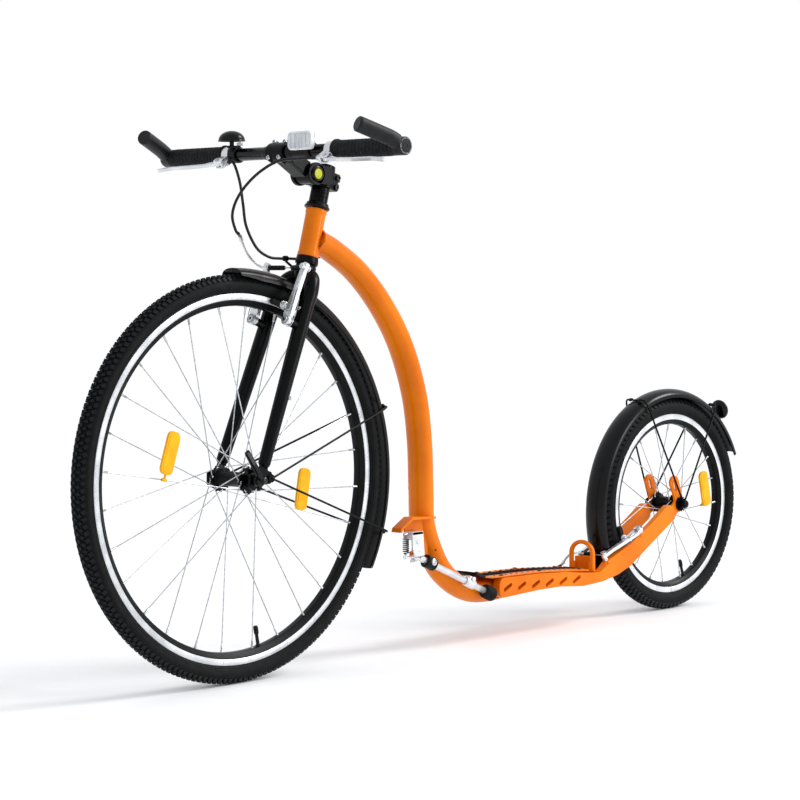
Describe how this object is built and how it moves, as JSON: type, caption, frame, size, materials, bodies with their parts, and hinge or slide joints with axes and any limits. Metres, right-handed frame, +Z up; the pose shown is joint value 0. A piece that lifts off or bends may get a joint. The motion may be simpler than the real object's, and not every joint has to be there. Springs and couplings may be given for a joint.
{
  "type": "kick bike",
  "caption": "Adult kick bike with a large front wheel, an S-shaped frame with a low deck, a small rear wheel, rim brakes, fenders, bar ends, bell, reflectors and a side kickstand.",
  "frame": {"origin": "on the floor, under the middle of the whole bike's bounding box", "axes": "+X forward along the travel direction, +Y to the rider's left, +Z up"},
  "size_m": [1.7688, 0.6052, 0.9545],
  "materials": {
    "orange_paint": "gloss",
    "black_paint": "satin",
    "gloss_black": "gloss",
    "black_plastic": "matte",
    "rubber": "matte",
    "tyre_rubber": "matte",
    "silver_metal": "satin",
    "spoke_steel": "satin",
    "rim_alloy": "satin",
    "clear_lens": "gloss",
    "amber_lens": "gloss",
    "lime_plastic": "gloss"
  },
  "bodies": {
    "frame": {"head_tube": "orange_paint", "lower_cup": "black_paint", "upper_cup": "black_paint", "main_tube": "orange_paint", "side_member_left": "orange_paint", "side_member_right": "orange_paint", "deck_plate": "black_plastic", "rear_hoop": "orange_paint", "dropout_left": "orange_paint", "dropout_right": "orange_paint", "rear_axle": "black_paint", "rear_fender": "gloss_black", "rear_fender_stay": "black_paint", "rear_reflector": "black_plastic", "kickstand_bracket": "orange_paint", "kickstand_housing": "silver_metal", "rear_cable": "black_plastic", "rear_cable_loop": "black_plastic"},
    "kickstand": {"kickstand_leg": "silver_metal", "kickstand_foot": "rubber", "kickstand_spring": "silver_metal"},
    "steering": {"fork": "black_paint", "spacer_stack": "black_paint", "stem_base": "black_paint", "stem_pivot_cap": "lime_plastic", "front_axle": "silver_metal", "front_fender": "gloss_black", "front_fender_stay": "black_paint"},
    "quick_release": {"quick_release_lever": "black_plastic"},
    "front_wheel": {"front_tyre": "tyre_rubber", "front_rim": "rim_alloy", "front_hub": "spoke_steel", "front_wheel_reflector_a": "amber_lens", "front_wheel_reflector_b": "amber_lens"},
    "rear_wheel": {"rear_tyre": "tyre_rubber", "rear_rim": "rim_alloy", "rear_hub": "spoke_steel", "rear_wheel_reflector": "amber_lens"},
    "front_brake_left": {"front_brake_arm_left": "silver_metal"},
    "front_brake_right": {"front_brake_arm_right": "silver_metal", "front_brake_noodle": "black_plastic"},
    "rear_brake_left": {"rear_brake_arm_left": "silver_metal"},
    "rear_brake_right": {"rear_brake_arm_right": "silver_metal", "rear_brake_noodle": "silver_metal"},
    "handlebar_unit": {"stem_arm": "black_paint", "handlebar": "black_paint", "grip_left": "rubber", "grip_right": "rubber", "bar_end_left": "rubber", "bar_end_right": "rubber", "lever_bracket_left": "silver_metal", "lever_bracket_right": "silver_metal", "bell": "black_plastic", "front_reflector": "clear_lens", "front_cable": "black_plastic", "rear_cable_lead": "black_plastic"},
    "lever_left": {"brake_lever_left": "silver_metal"},
    "lever_right": {"brake_lever_right": "silver_metal"},
    "bell_thumb": {"bell_striker": "silver_metal"}
  },
  "joints": [
    {"name": "steering_turn", "type": "hinge", "parent": "frame", "child": "steering", "pos_m": [0.35704, 0, 0.719], "axis": [-0.2706, 0, 0.9627], "range_deg": [-60, 60], "deforming": ["rear_cable_loop"]},
    {"name": "stem_tilt", "type": "hinge", "parent": "steering", "child": "handlebar_unit", "pos_m": [0.35204, 0, 0.873], "axis": [0, 1, 0], "range_deg": [-35, 15], "deforming": ["front_cable", "rear_cable_lead"]},
    {"name": "front_wheel_spin", "type": "hinge", "parent": "steering", "child": "front_wheel", "pos_m": [0.53504, 0, 0.35], "axis": [0, 1, 0], "continuous": true},
    {"name": "rear_wheel_spin", "type": "hinge", "parent": "frame", "child": "rear_wheel", "pos_m": [-0.66496, 0, 0.2175], "axis": [0, 1, 0], "continuous": true},
    {"name": "lever_left_pull", "type": "hinge", "parent": "handlebar_unit", "child": "lever_left", "pos_m": [0.43909, 0.135, 0.89429], "axis": [0.5549, 0, 0.8319], "range_deg": [0, 8], "stiffness_Nm_per_rad": 2, "springref_deg": -17.19},
    {"name": "lever_right_pull", "type": "hinge", "parent": "handlebar_unit", "child": "lever_right", "pos_m": [0.43909, -0.135, 0.89429], "axis": [-0.5549, 0, -0.8319], "range_deg": [0, 8], "stiffness_Nm_per_rad": 2, "springref_deg": -17.19},
    {"name": "front_brake_left_close", "type": "hinge", "parent": "steering", "child": "front_brake_left", "pos_m": [0.44704, 0.042, 0.62], "axis": [0.9157, 0, 0.4019], "range_deg": [0, 1.5]},
    {"name": "front_brake_right_close", "type": "hinge", "parent": "steering", "child": "front_brake_right", "pos_m": [0.44704, -0.042, 0.62], "axis": [-0.9157, 0, -0.4019], "range_deg": [0, 1.5]},
    {"name": "rear_brake_left_close", "type": "hinge", "parent": "frame", "child": "rear_brake_left", "pos_m": [-0.52976, 0.033, 0.1736], "axis": [-0.365, 0, -0.931], "range_deg": [0, 1.3]},
    {"name": "rear_brake_right_close", "type": "hinge", "parent": "frame", "child": "rear_brake_right", "pos_m": [-0.52976, -0.033, 0.1736], "axis": [0.365, 0, 0.931], "range_deg": [0, 1.3]},
    {"name": "bell_flick", "type": "hinge", "parent": "handlebar_unit", "child": "bell_thumb", "pos_m": [0.42804, -0.092, 0.927], "axis": [0, 0, 1], "range_deg": [0, 30], "stiffness_Nm_per_rad": 0.01, "springref_deg": -17.19},
    {"name": "quick_release_turn", "type": "hinge", "parent": "steering", "child": "quick_release", "pos_m": [0.53504, 0.0686, 0.35], "axis": [-0.866, 0, 0.5], "range_deg": [0, 160]},
    {"name": "kickstand_swing", "type": "hinge", "parent": "frame", "child": "kickstand", "pos_m": [0.11104, 0.027, 0.18], "axis": [0.1481, -0.8934, -0.4242], "range_deg": [0, 78], "deforming": ["kickstand_spring"]}
  ],
  "couplings": [
    {"joint": "front_brake_left_close", "follows": "lever_left_pull", "ratio": 0.1875},
    {"joint": "front_brake_right_close", "follows": "lever_left_pull", "ratio": 0.1875},
    {"joint": "rear_brake_left_close", "follows": "lever_right_pull", "ratio": 0.1625},
    {"joint": "rear_brake_right_close", "follows": "lever_right_pull", "ratio": 0.1625}
  ]
}
